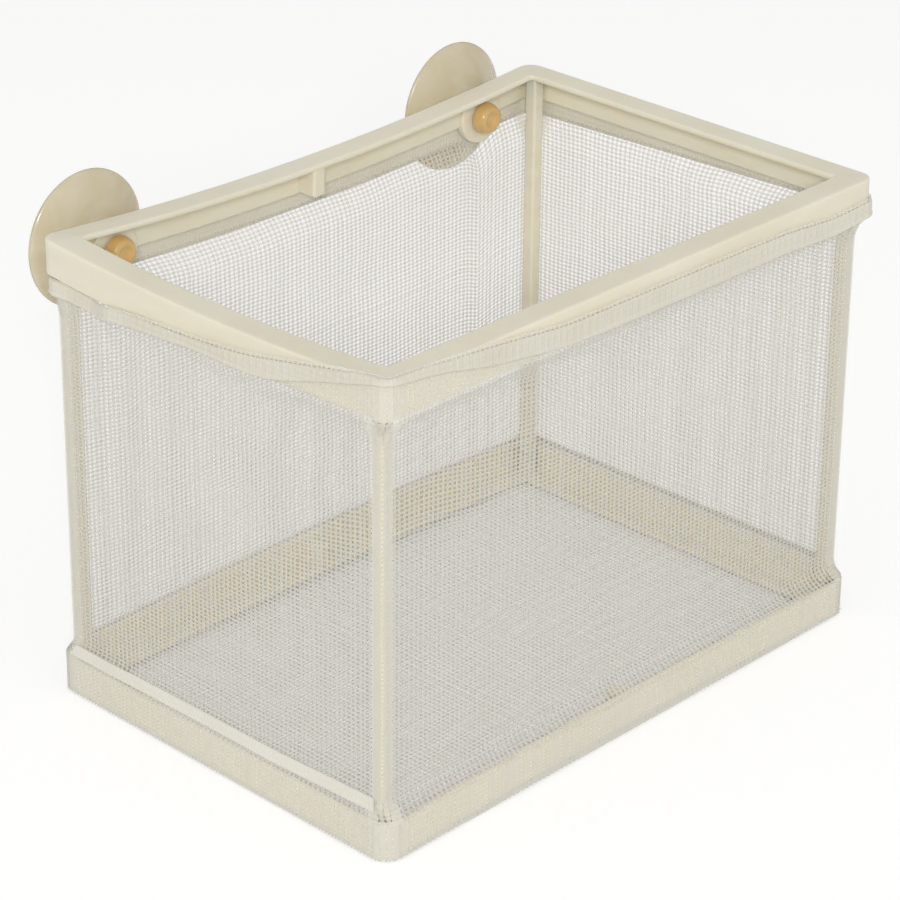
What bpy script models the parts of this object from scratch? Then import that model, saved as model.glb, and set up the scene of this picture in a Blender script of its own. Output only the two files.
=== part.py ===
"""A net breeding box for a fish tank, at real size in metres, +Z up.

X runs along the long side and +Y points to the tank's glass. The origin is the middle of the
netting floor's underside. Two moulded frames are held apart by four corner posts, a net bag
wraps them from outside, its elastic hem grips the top frame, and two suction cups turn in the
round ears that hang from the rear top rail.
"""

import math

import bmesh
import bpy

for old in list(bpy.data.objects):
    bpy.data.objects.remove(old, do_unlink=True)

# Overall sizes
frame_length = 0.170
frame_width = 0.1156
box_height = 0.1215
seat_gap = 0.0003

# Moulded rails
rail_wall = 0.0014
rail_plate = 0.0015
rail_softening = 0.0005
inner_corner_radius = 0.0008
union_overlap = 0.0005
cut_overrun = 0.001

# Top frame
top_skirt_height = 0.0090
top_shelf_width = 0.0072
top_corner_radius = 0.0038
rear_rail_sag = 0.0036
left_rail_sag = 0.0021

# Base frame
base_wall_height = 0.0093
base_shelf_width = 0.0076
base_corner_radius = 0.0052
base_rail_bow = 0.0013

# Corner posts, the base frame's bosses and the top frame's pegs that hold them
post_side = 0.0035
post_round = 0.0006
post_end_inset = 0.0041
post_side_inset = 0.0054
tenon_side = 0.0020
tenon_length = 0.0050
peg_side = 0.0016
peg_length = 0.0050
boss_side = 0.0038
base_boss_height = 0.0060

# Middle lugs of the long rails
lug_width = 0.0040
lug_round = 0.0006
lug_clearance = 0.0002
base_lug_height = 0.0058

# Ears for the suction cups
ear_radius = 0.0072
ear_thickness = 0.0022
ear_recess = 0.0002
ear_drop = 0.0092
ear_end_margin = 0.0213
ear_softening = 0.0004
turning_gap = 0.0001

# Suction cups
cup_radius = 0.0175
cup_standoff = 0.0092
cup_cavity_depth = 0.0035
cup_lip = 0.0007
cup_wall = 0.0016
cup_root_radius = 0.0062
cup_shoulder = 0.0018
neck_radius = 0.0025
neck_fillet = 0.0004
knob_radius = 0.0042
knob_waist_radius = 0.0033
knob_length = 0.0036
knob_dimple = 0.0008

# Net bag
net_thickness = 0.0005
net_strand = 0.0026
net_flare_height = 0.0036
net_floor_setback = 0.0036
seam_gap = 0.0003

# Hem of the bag: a sewn casing whose upper edge is the bag's mouth, over a ridge with the elastic
hem_thickness = 0.0009
hem_edge_bend = 0.0010
casing_height = 0.0040
narrow_casing_height = 0.0014
elastic_diameter = 0.0011
tuck_depth = 0.0018

# How far the mouth reaches up the skirt from its lower edge, or on over the rim's top: it was
# pulled over the left front corner, and it slipped behind the skirt at the left rear one
mouth_right_front = 0.0038
mouth_front_middle = 0.0048
mouth_front_left = 0.0066
mouth_front_rim = 0.0084
mouth_front_turn = 0.0109
mouth_front_over = 0.0122
mouth_left_front = 0.0135
mouth_left_rim = 0.0098
mouth_left_middle = 0.0046
mouth_left_slip = -0.0010
mouth_behind_skirt = 0.0022
mouth_rear_slip = -0.0030
mouth_rear_middle = -0.0002
mouth_right_rear = -0.0002
hem_neck_clearance = 0.0009
front_shares = (0, 0.022, 0.045, 0.10, 0.22, 0.5, 1)
left_turn_share = 0.94
left_tuck_share = 0.14
corner_tuck_share = 0.5
left_shares = (0, 0.28, 0.38, 0.48, 0.62, 0.78, 1)
rear_shares = (0, 0.5, 0.955, 1)
narrow_shares = (0.88, 0.16)
strip_step_share = 0.1

# Seam bands low on the short sides
seam_band_width = 0.0032
seam_band_thickness = 0.0006
seam_end_share = 0.03

# Counts
corner_steps = 4
bowed_steps = 12
elastic_steps = 8
turned_steps = 40
ear_steps = 32
softening_steps = 2
long_wall_gaps = 12
short_wall_gaps = 8
wall_gap_rows = 5
floor_gaps_long = 12
floor_gaps_wide = 8

# Places that the sizes above give
half_length = frame_length / 2
half_width = frame_width / 2
base_underside = net_thickness + seat_gap
base_shelf_top = base_underside + rail_plate
skirt_bottom = box_height - top_skirt_height
shelf_underside = box_height - rail_plate
post_x = half_length - post_end_inset
post_y = half_width - post_side_inset
base_boss_top = base_shelf_top + base_boss_height
net_to_post_middle = net_thickness / 2 + seat_gap + post_side / 2
net_end_inset = post_end_inset - net_to_post_middle
net_side_inset = post_side_inset - net_to_post_middle
ear_x = half_length - ear_end_margin
ear_z = box_height - ear_drop
ear_front = half_width - ear_recess - ear_thickness
mouth_at_ear = top_skirt_height - ear_drop - neck_radius - hem_neck_clearance
ear_share = (half_length - top_corner_radius - ear_x) / (frame_length - 2 * top_corner_radius)


# Surfaces and colours
def plastic(name, colour, roughness):
    """A Principled material of one colour."""
    material = bpy.data.materials.new(name)
    material.use_nodes = True
    shader = material.node_tree.nodes["Principled BSDF"]
    shader.inputs["Base Color"].default_value = colour
    shader.inputs["Roughness"].default_value = roughness
    shader.inputs["Metallic"].default_value = 0.0
    return material


cream_plastic = plastic("cream_plastic", (0.76, 0.69, 0.55, 1.0), 0.42)
clear_amber_pvc = plastic("clear_amber_pvc", (0.72, 0.58, 0.33, 1.0), 0.25)
white_netting = plastic("white_netting", (0.66, 0.63, 0.59, 1.0), 0.85)
white_hem_tape = plastic("white_hem_tape", (0.74, 0.70, 0.62, 1.0), 0.8)


def add_object(name, mesh_builder, material, location=(0, 0, 0), smooth_angle=math.radians(32)):
    """Turns a bmesh into a named object with its material, shaded smooth up to an angle."""
    bmesh.ops.recalc_face_normals(mesh_builder, faces=mesh_builder.faces)
    mesh = bpy.data.meshes.new(name)
    mesh_builder.to_mesh(mesh)
    mesh_builder.free()
    mesh.materials.append(material)
    mesh.shade_smooth()
    mesh.set_sharp_from_angle(angle=smooth_angle)
    created = bpy.data.objects.new(name, mesh)
    created.location = location
    bpy.context.scene.collection.objects.link(created)
    return created


def helper(created):
    """Keeps a tool body out of the finished part."""
    created.hide_render = True
    created.display_type = "WIRE"
    return created


def join_to(target, tool, operation):
    """Adds a Boolean of the tool body to the target."""
    step = target.modifiers.new(operation.lower() + "_" + tool.name, "BOOLEAN")
    step.operation = operation
    step.solver = "EXACT"
    step.object = helper(tool)


def softened(outline, radius, steps=softening_steps):
    """Rounds each corner of a closed outline with a quadratic curve of a given reach."""
    points = []
    count = len(outline)
    for index, (u, v) in enumerate(outline):
        before = outline[index - 1]
        after = outline[(index + 1) % count]
        reach_before = min(radius, math.dist((u, v), before) / 2)
        reach_after = min(radius, math.dist((u, v), after) / 2)
        share_before = reach_before / math.dist((u, v), before)
        share_after = reach_after / math.dist((u, v), after)
        start = (u + (before[0] - u) * share_before, v + (before[1] - v) * share_before)
        end = (u + (after[0] - u) * share_after, v + (after[1] - v) * share_after)
        for step in range(steps + 1):
            t = step / steps
            points.append(
                tuple(
                    (1 - t) ** 2 * start[axis] + 2 * t * (1 - t) * (u, v)[axis] + t**2 * end[axis]
                    for axis in (0, 1)
                )
            )
    return points


def even(steps):
    """The inner shares of a side cut into equal steps."""
    return [step / steps for step in range(1, steps)]


def ring_stations(side_shares):
    """Stations round a rounded rectangle, anticlockwise from the +X, +Y corner.

    Each is (corner, turn, side, share): a point on corner's arc at a turn from 0 to 1, or one
    between two corners at a share of the straight side that follows the corner. The sides that
    follow the four corners are the rear, left, front and right ones.
    """
    stations = []
    for corner in range(4):
        stations += [(corner, step / corner_steps, corner, 0.0) for step in range(corner_steps + 1)]
        stations += [(corner, None, corner, share) for share in side_shares[corner]]
    return stations


def station_point(station, half_x, half_y, radius):
    """Where a station lies on a rounded rectangle of the given half sizes and corner radius."""
    corner, turn, _, share = station
    signs = ((1, 1), (-1, 1), (-1, -1), (1, -1))

    def on_arc(which, part):
        sign_x, sign_y = signs[which]
        angle = math.radians(90) * (which + part)
        centre_x = sign_x * (half_x - radius)
        centre_y = sign_y * (half_y - radius)
        return centre_x + radius * math.cos(angle), centre_y + radius * math.sin(angle)

    if turn is not None:
        return on_arc(corner, turn)
    start = on_arc(corner, 1)
    end = on_arc((corner + 1) % 4, 0)
    return tuple(start[axis] + (end[axis] - start[axis]) * share for axis in (0, 1))


def ring_place(station, insets, height, corner_radius):
    """A point on the ring that runs this far inside the frames' outer faces.

    The insets are one number, or one from the short sides' faces and one from the long sides'.
    """
    inset_x, inset_y = insets if isinstance(insets, tuple) else (insets, insets)
    radius = max(corner_radius - (inset_x + inset_y) / 2, inner_corner_radius)
    x, y = station_point(station, half_length - inset_x, half_width - inset_y, radius)
    return x, y, height


def closed_ring(name, outline_at, corner_radius, side_shares, material):
    """Sweeps an outline round the box; outline_at gives a station's list of (inset, height) points."""
    mesh_builder = bmesh.new()
    sections = []
    for station in ring_stations(side_shares):
        points = [ring_place(station, *point, corner_radius) for point in outline_at(station)]
        sections.append([mesh_builder.verts.new(point) for point in points])
    bridge(mesh_builder, sections + sections[:1])
    return add_object(name, mesh_builder, material)


def bridge(mesh_builder, sections):
    """Joins each closed section to the next one with quads."""
    for section, following in zip(sections, sections[1:]):
        for place in range(len(section)):
            after = (place + 1) % len(section)
            mesh_builder.faces.new(
                (section[place], section[after], following[after], following[place])
            )


def lifted(outline, lift):
    """An outline that keeps its shape while its height follows a rail."""
    return lambda station: [(inset, height + lift(station)) for inset, height in outline]


def stack(name, levels, material, location=(0, 0, 0)):
    """Lofts rounded squares, each (half side x, half side y, corner radius, height), and caps both ends."""
    mesh_builder = bmesh.new()
    stations = ring_stations(((), (), (), ()))
    loops = []
    for half_x, half_y, radius, height in levels:
        loop = [
            mesh_builder.verts.new((*station_point(station, half_x, half_y, radius), height))
            for station in stations
        ]
        loops.append(loop)
    for lower, upper in zip(loops, loops[1:]):
        for place in range(len(stations)):
            after = (place + 1) % len(stations)
            mesh_builder.faces.new((lower[place], lower[after], upper[after], upper[place]))
    mesh_builder.faces.new(loops[0])
    mesh_builder.faces.new(loops[-1])
    return add_object(name, mesh_builder, material, location)


def turned(name, profile, steps, material, location):
    """Spins a profile of (radius, distance along the axis) points, whose ends lie on the axis."""
    mesh_builder = bmesh.new()
    points = [mesh_builder.verts.new((radius, 0, along)) for radius, along in profile]
    edges = [mesh_builder.edges.new(pair) for pair in zip(points, points[1:])]
    bmesh.ops.spin(
        mesh_builder,
        geom=points + edges,
        cent=(0, 0, 0),
        axis=(0, 0, 1),
        angle=math.tau,
        steps=steps,
        use_merge=True,
    )
    bmesh.ops.remove_doubles(mesh_builder, verts=mesh_builder.verts, dist=seat_gap / 100)
    created = add_object(name, mesh_builder, material, location)
    created.rotation_euler = (-math.pi / 2, 0, 0)
    return created


def arch(share):
    """0 at both ends of a rail and 1 at its middle."""
    return 4 * share * (1 - share)


def eased(share):
    """Runs from 0 to 1 with level ends."""
    return share * share * (3 - 2 * share)


# Height of a station on each frame: net tension draws the rails towards each other
def top_lift(station):
    sags = (rear_rail_sag, left_rail_sag, 0, 0)
    return box_height - sags[station[2]] * arch(station[3])


def base_lift(station):
    bows = (base_rail_bow, 0, base_rail_bow, 0)
    return base_underside + bows[station[2]] * arch(station[3])


def between(places, share):
    """Reads a value at a share from (share, value) places, eased between them."""
    for (start, value_start), (end, value_end) in zip(places, places[1:]):
        if share <= end:
            part = (share - start) / (end - start)
            return value_start + (value_end - value_start) * eased(part)
    return places[-1][1]


# The rear side runs from the right rear corner to the left rear one, then left, front, right
mouth_places = (
    (
        (rear_shares[0], mouth_right_rear),
        (ear_share, mouth_at_ear),
        (rear_shares[1], mouth_rear_middle),
        (1 - ear_share, mouth_at_ear),
        (rear_shares[2], mouth_rear_slip),
        (rear_shares[3], mouth_rear_slip),
    ),
    (
        (left_shares[0], mouth_rear_slip),
        (left_shares[1], mouth_behind_skirt),
        (left_shares[2], mouth_left_slip),
        (left_shares[3], mouth_left_slip),
        (left_shares[4], mouth_left_middle),
        (left_shares[5], mouth_left_rim),
        (left_shares[6], mouth_left_front),
    ),
    (
        (front_shares[0], mouth_left_front),
        (front_shares[1], mouth_front_over),
        (front_shares[2], mouth_front_turn),
        (front_shares[3], mouth_front_rim),
        (front_shares[4], mouth_front_left),
        (front_shares[5], mouth_front_middle),
        (front_shares[6], mouth_right_front),
    ),
    ((0, mouth_right_front), (1, mouth_right_rear)),
)
tuck_places = (
    ((rear_shares[0], 0), (1 - ear_share / 2, 0), (rear_shares[3], corner_tuck_share)),
    (
        (left_shares[0], corner_tuck_share),
        (left_tuck_share, 1),
        (left_shares[2], 1),
        (left_shares[3], 0),
        (left_shares[6], 0),
    ),
    ((0, 0), (1, 0)),
    ((0, 0), (1, 0)),
)
narrow_places = (
    ((0, 0), (1, 0)),
    ((0, 0), (left_shares[5], 0), (narrow_shares[0], 1), (1, 1)),
    ((0, 1), (narrow_shares[1], 1), (front_shares[4] + narrow_shares[1], 0), (1, 0)),
    ((0, 0), (1, 0)),
)


def mouth_reach(station):
    """How far up the skirt, or over the rim, the bag's mouth lies at a station."""
    return between(mouth_places[station[2]], station[3])


def casing_reach(station):
    """The height of the casing, narrow where it was pulled over the corner."""
    narrow = between(narrow_places[station[2]], station[3])
    return casing_height + (narrow_casing_height - casing_height) * narrow


def on_frame(station, reach, offset):
    """(inset, height) of a point this far up the top frame's outside and this far off its faces.

    The way runs up the skirt, round the rim's outer edge on an arc, and inwards over the rim.
    Where the hem is tucked in, it runs behind the skirt instead.
    """
    rim = top_lift(station)
    tuck = between(tuck_places[station[2]], station[3])
    over = reach - top_skirt_height
    if over <= 0:
        inset = -offset
        height = rim + over
    elif over < hem_edge_bend:
        angle = math.radians(90) * over / hem_edge_bend
        inset = -offset * math.cos(angle)
        height = rim + offset * math.sin(angle)
    else:
        inset = over - hem_edge_bend
        height = rim + offset
    return inset + (tuck_depth + seat_gap + hem_thickness) * tuck, height


# Top frame: a shelf pointing inwards over a skirt
top_outline = softened(
    [
        (0, 0),
        (0, -top_skirt_height),
        (rail_wall, -top_skirt_height),
        (rail_wall, -rail_plate),
        (top_shelf_width, -rail_plate),
        (top_shelf_width, 0),
    ],
    rail_softening,
)
top_frame = closed_ring(
    "top_frame",
    lifted(top_outline, top_lift),
    top_corner_radius,
    (even(bowed_steps), even(bowed_steps), (), ()),
    cream_plastic,
)

# Base frame: a wall standing on a shelf that points inwards
base_outline = softened(
    [
        (0, 0),
        (base_shelf_width, 0),
        (base_shelf_width, rail_plate),
        (rail_wall, rail_plate),
        (rail_wall, base_wall_height),
        (0, base_wall_height),
    ],
    rail_softening,
)
bottom_frame = closed_ring(
    "bottom_frame",
    lifted(base_outline, base_lift),
    base_corner_radius,
    (even(bowed_steps), (), even(bowed_steps), ()),
    cream_plastic,
)

# Each post's tenon sits in the square socket of a boss on the base frame, and a peg under the
# top frame's shelf sits in a socket in the post's upper end
half_boss = boss_side / 2
half_post = post_side / 2
half_tenon = tenon_side / 2
half_peg = peg_side / 2
half_tenon_socket = half_tenon + seat_gap
half_peg_socket = half_peg + seat_gap
post_bottom = base_boss_top + seat_gap
peg_bottom = shelf_underside - peg_length


def end_share(inset, whole):
    """The share of a straight rail at which the inner face of its end's post lies."""
    return (inset + half_post - top_corner_radius) / (whole - 2 * top_corner_radius)


def seat_sag(x, y):
    """How much the sagging rails lower the shelf's underside over a post."""
    rear = rear_rail_sag * arch(end_share(post_end_inset, frame_length)) if y > 0 else 0
    left = left_rail_sag * arch(end_share(post_side_inset, frame_width)) if x < 0 else 0
    return max(rear, left)


corners = {
    "right_rear": (post_x, post_y),
    "left_rear": (-post_x, post_y),
    "left_front": (-post_x, -post_y),
    "right_front": (post_x, -post_y),
}
for corner_name, (x, y) in corners.items():
    post_top = shelf_underside - seat_sag(x, y) - seat_gap
    peg = stack(
        "peg_" + corner_name,
        [
            (half_peg, half_peg, post_round / 2, peg_bottom),
            (half_peg, half_peg, post_round / 2, shelf_underside + union_overlap),
        ],
        cream_plastic,
        (x, y, 0),
    )
    join_to(top_frame, peg, "UNION")
    base_boss = stack(
        "base_boss_" + corner_name,
        [
            (half_boss, half_boss, post_round, base_shelf_top - union_overlap),
            (half_boss, half_boss, post_round, base_boss_top),
        ],
        cream_plastic,
        (x, y, 0),
    )
    join_to(bottom_frame, base_boss, "UNION")
    base_socket = stack(
        "base_socket_" + corner_name,
        [
            (half_tenon_socket, half_tenon_socket, post_round / 2, post_bottom - tenon_length - seat_gap),
            (half_tenon_socket, half_tenon_socket, post_round / 2, base_boss_top + cut_overrun),
        ],
        cream_plastic,
        (x, y, 0),
    )
    join_to(bottom_frame, base_socket, "DIFFERENCE")
    post = stack(
        "post_" + corner_name,
        [
            (half_tenon, half_tenon, post_round / 2, post_bottom - tenon_length),
            (half_tenon, half_tenon, post_round / 2, post_bottom),
            (half_post, half_post, post_round, post_bottom),
            (half_post, half_post, post_round, post_top),
        ],
        cream_plastic,
        (x, y, 0),
    )
    post_socket = stack(
        "post_socket_" + corner_name,
        [
            (half_peg_socket, half_peg_socket, post_round / 2, peg_bottom - seat_gap),
            (half_peg_socket, half_peg_socket, post_round / 2, post_top + cut_overrun),
        ],
        cream_plastic,
        (x, y, 0),
    )
    join_to(post, post_socket, "DIFFERENCE")

# Middle lugs: ribs across the shelf of each long rail
half_lug = lug_width / 2
for side_name, sign, sag in (("rear", 1, rear_rail_sag), ("front", -1, 0)):
    lug_outer = half_width - rail_wall + union_overlap
    lug_inner = half_width - top_shelf_width + lug_clearance
    top_lug = stack(
        "top_lug_" + side_name,
        [
            (half_lug, (lug_outer - lug_inner) / 2, lug_round, skirt_bottom - sag + lug_round),
            (half_lug, (lug_outer - lug_inner) / 2, lug_round, shelf_underside - sag + union_overlap),
        ],
        cream_plastic,
        (0, sign * (lug_outer + lug_inner) / 2, 0),
    )
    join_to(top_frame, top_lug, "UNION")
    base_lug_inner = half_width - base_shelf_width + lug_clearance
    base_lug = stack(
        "base_lug_" + side_name,
        [
            (
                half_lug,
                (lug_outer - base_lug_inner) / 2,
                lug_round,
                base_shelf_top + base_rail_bow - union_overlap,
            ),
            (
                half_lug,
                (lug_outer - base_lug_inner) / 2,
                lug_round,
                base_shelf_top + base_rail_bow + base_lug_height,
            ),
        ],
        cream_plastic,
        (0, sign * (lug_outer + base_lug_inner) / 2, 0),
    )
    join_to(bottom_frame, base_lug, "UNION")

# Ears: round eyelets in the plane of the rear skirt, each turned about its cup's axis
ear_profile = softened(
    [(0, 0), (ear_radius, 0), (ear_radius, ear_thickness), (0, ear_thickness)], ear_softening
)
ear_profile = [(0, 0)] + [point for point in ear_profile if point[0] > ear_softening] + [
    (0, ear_thickness)
]
hole_radius = neck_radius + turning_gap
hole_profile = [
    (0, -cut_overrun),
    (hole_radius, -cut_overrun),
    (hole_radius, ear_thickness + cut_overrun),
    (0, ear_thickness + cut_overrun),
]

# Suction cup: lip, hollow dish, root, neck through the ear and a knob inside the box
lip_plane = half_width - ear_front + cup_standoff
cavity_floor = lip_plane - cup_cavity_depth
dish_back = cavity_floor - cup_wall
knob_face = -seat_gap
cup_profile = [
    (0, cavity_floor),
    (cup_radius * 0.30, cavity_floor + cup_cavity_depth * 0.10),
    (cup_radius * 0.58, cavity_floor + cup_cavity_depth * 0.36),
    (cup_radius * 0.82, cavity_floor + cup_cavity_depth * 0.74),
    (cup_radius - cup_lip * 2, lip_plane),
    (cup_radius, lip_plane),
    (cup_radius, lip_plane - cup_lip),
    (cup_radius * 0.86, lip_plane - cup_lip - cup_cavity_depth * 0.34),
    (cup_radius * 0.62, dish_back + cup_wall * 0.72),
    (cup_root_radius, dish_back - cup_shoulder * 0.15),
    (cup_root_radius * 0.86, dish_back - cup_shoulder * 0.70),
    (neck_radius + neck_fillet, dish_back - cup_shoulder),
    (neck_radius, dish_back - cup_shoulder - neck_fillet),
    (neck_radius, knob_face),
    (knob_radius - cup_lip, knob_face),
    (knob_radius, knob_face - cup_lip),
    (knob_radius, knob_face - knob_length * 0.45),
    (knob_waist_radius, knob_face - knob_length),
    (knob_waist_radius * 0.55, knob_face - knob_length),
    (0, knob_face - knob_length + knob_dimple),
]
for side_name, sign in (("left", -1), ("right", 1)):
    ear_place = (sign * ear_x, ear_front, ear_z)
    ear = turned("ear_" + side_name, ear_profile, ear_steps, cream_plastic, ear_place)
    join_to(top_frame, ear, "UNION")
    hole = turned("ear_hole_" + side_name, hole_profile, ear_steps, cream_plastic, ear_place)
    join_to(top_frame, hole, "DIFFERENCE")
    turned("suction_cup_" + side_name, cup_profile, turned_steps, clear_amber_pvc, ear_place)

# Hem: the casing, with the elastic's ridge below it
hem_middle = seat_gap + hem_thickness / 2
rear_inner_shares = even(long_wall_gaps)
rear_inner_shares[0] = ear_share
rear_inner_shares[-1] = 1 - ear_share
rear_inner_shares.append(1 - ear_share / 2)
bag_shares = (
    rear_inner_shares,
    even(short_wall_gaps) + [left_turn_share],
    list(front_shares[1:3]) + even(long_wall_gaps),
    even(short_wall_gaps),
)


def rim_reaches(low, top):
    """Where a strip from low to top starts and ends its bend over the rim, kept within the strip."""
    step = (top - low) * strip_step_share
    bend_start = min(max(top_skirt_height, low + step), top - 2 * step)
    bend_end = min(max(top_skirt_height + hem_edge_bend, bend_start + step), top - step)
    return bend_start, bend_end


def casing_outline(station):
    top = mouth_reach(station)
    low = top - casing_reach(station)
    bend_start, bend_end = rim_reaches(low, top)
    reaches = [low, bend_start, (bend_start + bend_end) / 2, bend_end, top]
    outer = [on_frame(station, reach, seat_gap + hem_thickness) for reach in reaches]
    inner = [on_frame(station, reach, seat_gap) for reach in reaches]
    return outer + inner[::-1]


def elastic_reach(station):
    return mouth_reach(station) - casing_reach(station) - seat_gap - elastic_diameter / 2


def elastic_outline(station):
    radius = elastic_diameter / 2
    turns = [math.tau * step / elastic_steps for step in range(elastic_steps)]
    return [
        on_frame(
            station,
            elastic_reach(station) + radius * math.cos(turn),
            seat_gap + radius + radius * math.sin(turn),
        )
        for turn in turns
    ]


closed_ring("net_hem", casing_outline, top_corner_radius, bag_shares, white_hem_tape)
closed_ring("hem_elastic", elastic_outline, top_corner_radius, bag_shares, white_hem_tape)

# Net walls: flared over both frames, flat against the posts between them
wall_base_inset = -seat_gap - net_thickness


def net_wall(name, side):
    """One wall of the bag from the middle of one corner to the middle of the next."""
    mesh_builder = bmesh.new()
    half_corner = corner_steps // 2
    columns = [
        (side, step / corner_steps, side, 0.0) for step in range(half_corner, corner_steps + 1)
    ]
    columns += [(side, None, side, share) for share in bag_shares[side]]
    next_corner = (side + 1) % 4
    columns += [(next_corner, step / corner_steps, side, 1.0) for step in range(half_corner + 1)]
    rows = []

    def add_row(place_at, corner_radius):
        row = [
            mesh_builder.verts.new(ring_place(station, *place_at(station), corner_radius))
            for station in columns
        ]
        rows.append(row)

    def top_reach(station):
        return elastic_reach(station) - elastic_diameter / 2 - seat_gap

    def low_reach(station):
        return min(top_reach(station), -seat_gap) - net_thickness

    def reach_on_the_way(station, order):
        """The arc's start or end on the rim, kept between the net's low and top reaches."""
        return rim_reaches(low_reach(station), top_reach(station))[order]

    def up_the_frame(reach_at):
        return lambda station: on_frame(station, reach_at(station), hem_middle)

    def flat_bottom(station):
        return flat_insets, base_lift(station) + base_wall_height + net_flare_height

    def flat_top(station):
        return flat_insets, on_frame(station, low_reach(station), 0)[1] - net_flare_height

    def base_top(station):
        return wall_base_inset, base_lift(station) + base_wall_height + seat_gap

    def between_flats(part):
        return lambda station: (
            flat_insets,
            flat_bottom(station)[1] * (1 - part) + flat_top(station)[1] * part,
        )

    flat_insets = (net_end_inset, net_side_inset)
    flat_radius = sum(flat_insets) / 2 + post_round + seat_gap + net_thickness / 2
    add_row(lambda station: (wall_base_inset, base_underside), base_corner_radius)
    add_row(base_top, base_corner_radius)
    for step in range(wall_gap_rows + 1):
        add_row(between_flats(step / wall_gap_rows), flat_radius)
    add_row(up_the_frame(low_reach), top_corner_radius)
    for order in (0, 1):
        add_row(
            up_the_frame(lambda station, order=order: reach_on_the_way(station, order)),
            top_corner_radius,
        )
    add_row(up_the_frame(top_reach), top_corner_radius)
    gap_faces = []
    for level, (lower, upper) in enumerate(zip(rows, rows[1:])):
        for place in range(len(columns) - 1):
            face = mesh_builder.faces.new(
                (lower[place], lower[place + 1], upper[place + 1], upper[place])
            )
            in_flat = 2 <= level < 2 + wall_gap_rows
            in_middle = half_corner <= place < len(columns) - 1 - half_corner
            if in_flat and in_middle:
                gap_faces.append(face)
    # Each side keeps half of the seam at both of its ends
    along = 0 if side % 2 == 0 else 1
    for vertex in [row[end] for row in rows for end in (0, -1)]:
        vertex.co[along] -= math.copysign(seam_gap / 2, vertex.co[along])
        across = 1 - along
        vertex.co[across] += math.copysign(seam_gap / 2, vertex.co[across])
    mesh_builder.normal_update()
    bmesh.ops.inset_individual(mesh_builder, faces=gap_faces, thickness=net_strand / 2)
    bmesh.ops.delete(mesh_builder, geom=gap_faces, context="FACES_ONLY")
    wall = add_object(name, mesh_builder, white_netting)
    thickening = wall.modifiers.new("net_thickness", "SOLIDIFY")
    thickening.thickness = net_thickness
    thickening.offset = 0
    return wall


net_wall("net_rear", 0)
net_wall("net_left", 1)
net_wall("net_front", 2)
net_wall("net_right", 3)

# Seam bands: flat strips sewn on the flare above the base frame's short sides
flare_start = (wall_base_inset, base_underside + base_wall_height + seat_gap)
flare_end = (net_end_inset, base_underside + base_wall_height + net_flare_height)
flare_run = math.dist(flare_start, flare_end)
flare_way = [(end - start) / flare_run for start, end in zip(flare_start, flare_end)]
band_offsets = (
    net_thickness / 2 + seat_gap,
    net_thickness / 2 + seat_gap + seam_band_thickness,
)


def seam_band(name, side):
    """A strip along one short side, lofted between two sections and capped."""
    mesh_builder = bmesh.new()
    half_spare = (flare_run - seam_band_width) / 2
    outline = [
        (
            flare_start[0] + flare_way[0] * along - flare_way[1] * offset,
            flare_start[1] + flare_way[1] * along + flare_way[0] * offset,
        )
        for along, offset in (
            (half_spare, band_offsets[0]),
            (flare_run - half_spare, band_offsets[0]),
            (flare_run - half_spare, band_offsets[1]),
            (half_spare, band_offsets[1]),
        )
    ]
    sections = []
    for share in (seam_end_share, 1 - seam_end_share):
        station = (side, None, side, share)
        points = [ring_place(station, *point, base_corner_radius) for point in outline]
        sections.append([mesh_builder.verts.new(point) for point in points])
    bridge(mesh_builder, sections)
    mesh_builder.faces.new(sections[0])
    mesh_builder.faces.new(sections[1])
    add_object(name, mesh_builder, white_hem_tape)


seam_band("seam_left", 1)
seam_band("seam_right", 3)

# Net floor: flat below the base frame, and what the box stands on
floor_builder = bmesh.new()
floor_half_x = half_length - net_floor_setback
floor_half_y = half_width - net_floor_setback
shelf_x = half_length - base_shelf_width
shelf_y = half_width - base_shelf_width
floor_x = [-floor_half_x] + [
    shelf_x * (2 * step / floor_gaps_long - 1) for step in range(floor_gaps_long + 1)
] + [floor_half_x]
floor_y = [-floor_half_y] + [
    shelf_y * (2 * step / floor_gaps_wide - 1) for step in range(floor_gaps_wide + 1)
] + [floor_half_y]
floor_grid = [[floor_builder.verts.new((x, y, 0)) for x in floor_x] for y in floor_y]
floor_gap_faces = []
for row in range(len(floor_y) - 1):
    for column in range(len(floor_x) - 1):
        face = floor_builder.faces.new(
            (
                floor_grid[row][column],
                floor_grid[row][column + 1],
                floor_grid[row + 1][column + 1],
                floor_grid[row + 1][column],
            )
        )
        if 0 < row <= floor_gaps_wide and 0 < column <= floor_gaps_long:
            floor_gap_faces.append(face)
floor_builder.normal_update()
bmesh.ops.inset_individual(floor_builder, faces=floor_gap_faces, thickness=net_strand / 2)
bmesh.ops.delete(floor_builder, geom=floor_gap_faces, context="FACES_ONLY")
net_floor = add_object("net_floor", floor_builder, white_netting)
floor_thickening = net_floor.modifiers.new("net_thickness", "SOLIDIFY")
floor_thickening.thickness = net_thickness
floor_thickening.offset = 1
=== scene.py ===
# A net breeding box for young fish: real netting threads, a sewn hem, moulded plastic, soft cups.
import math

import bpy
import numpy as np
from mathutils import Matrix, Vector


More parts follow.
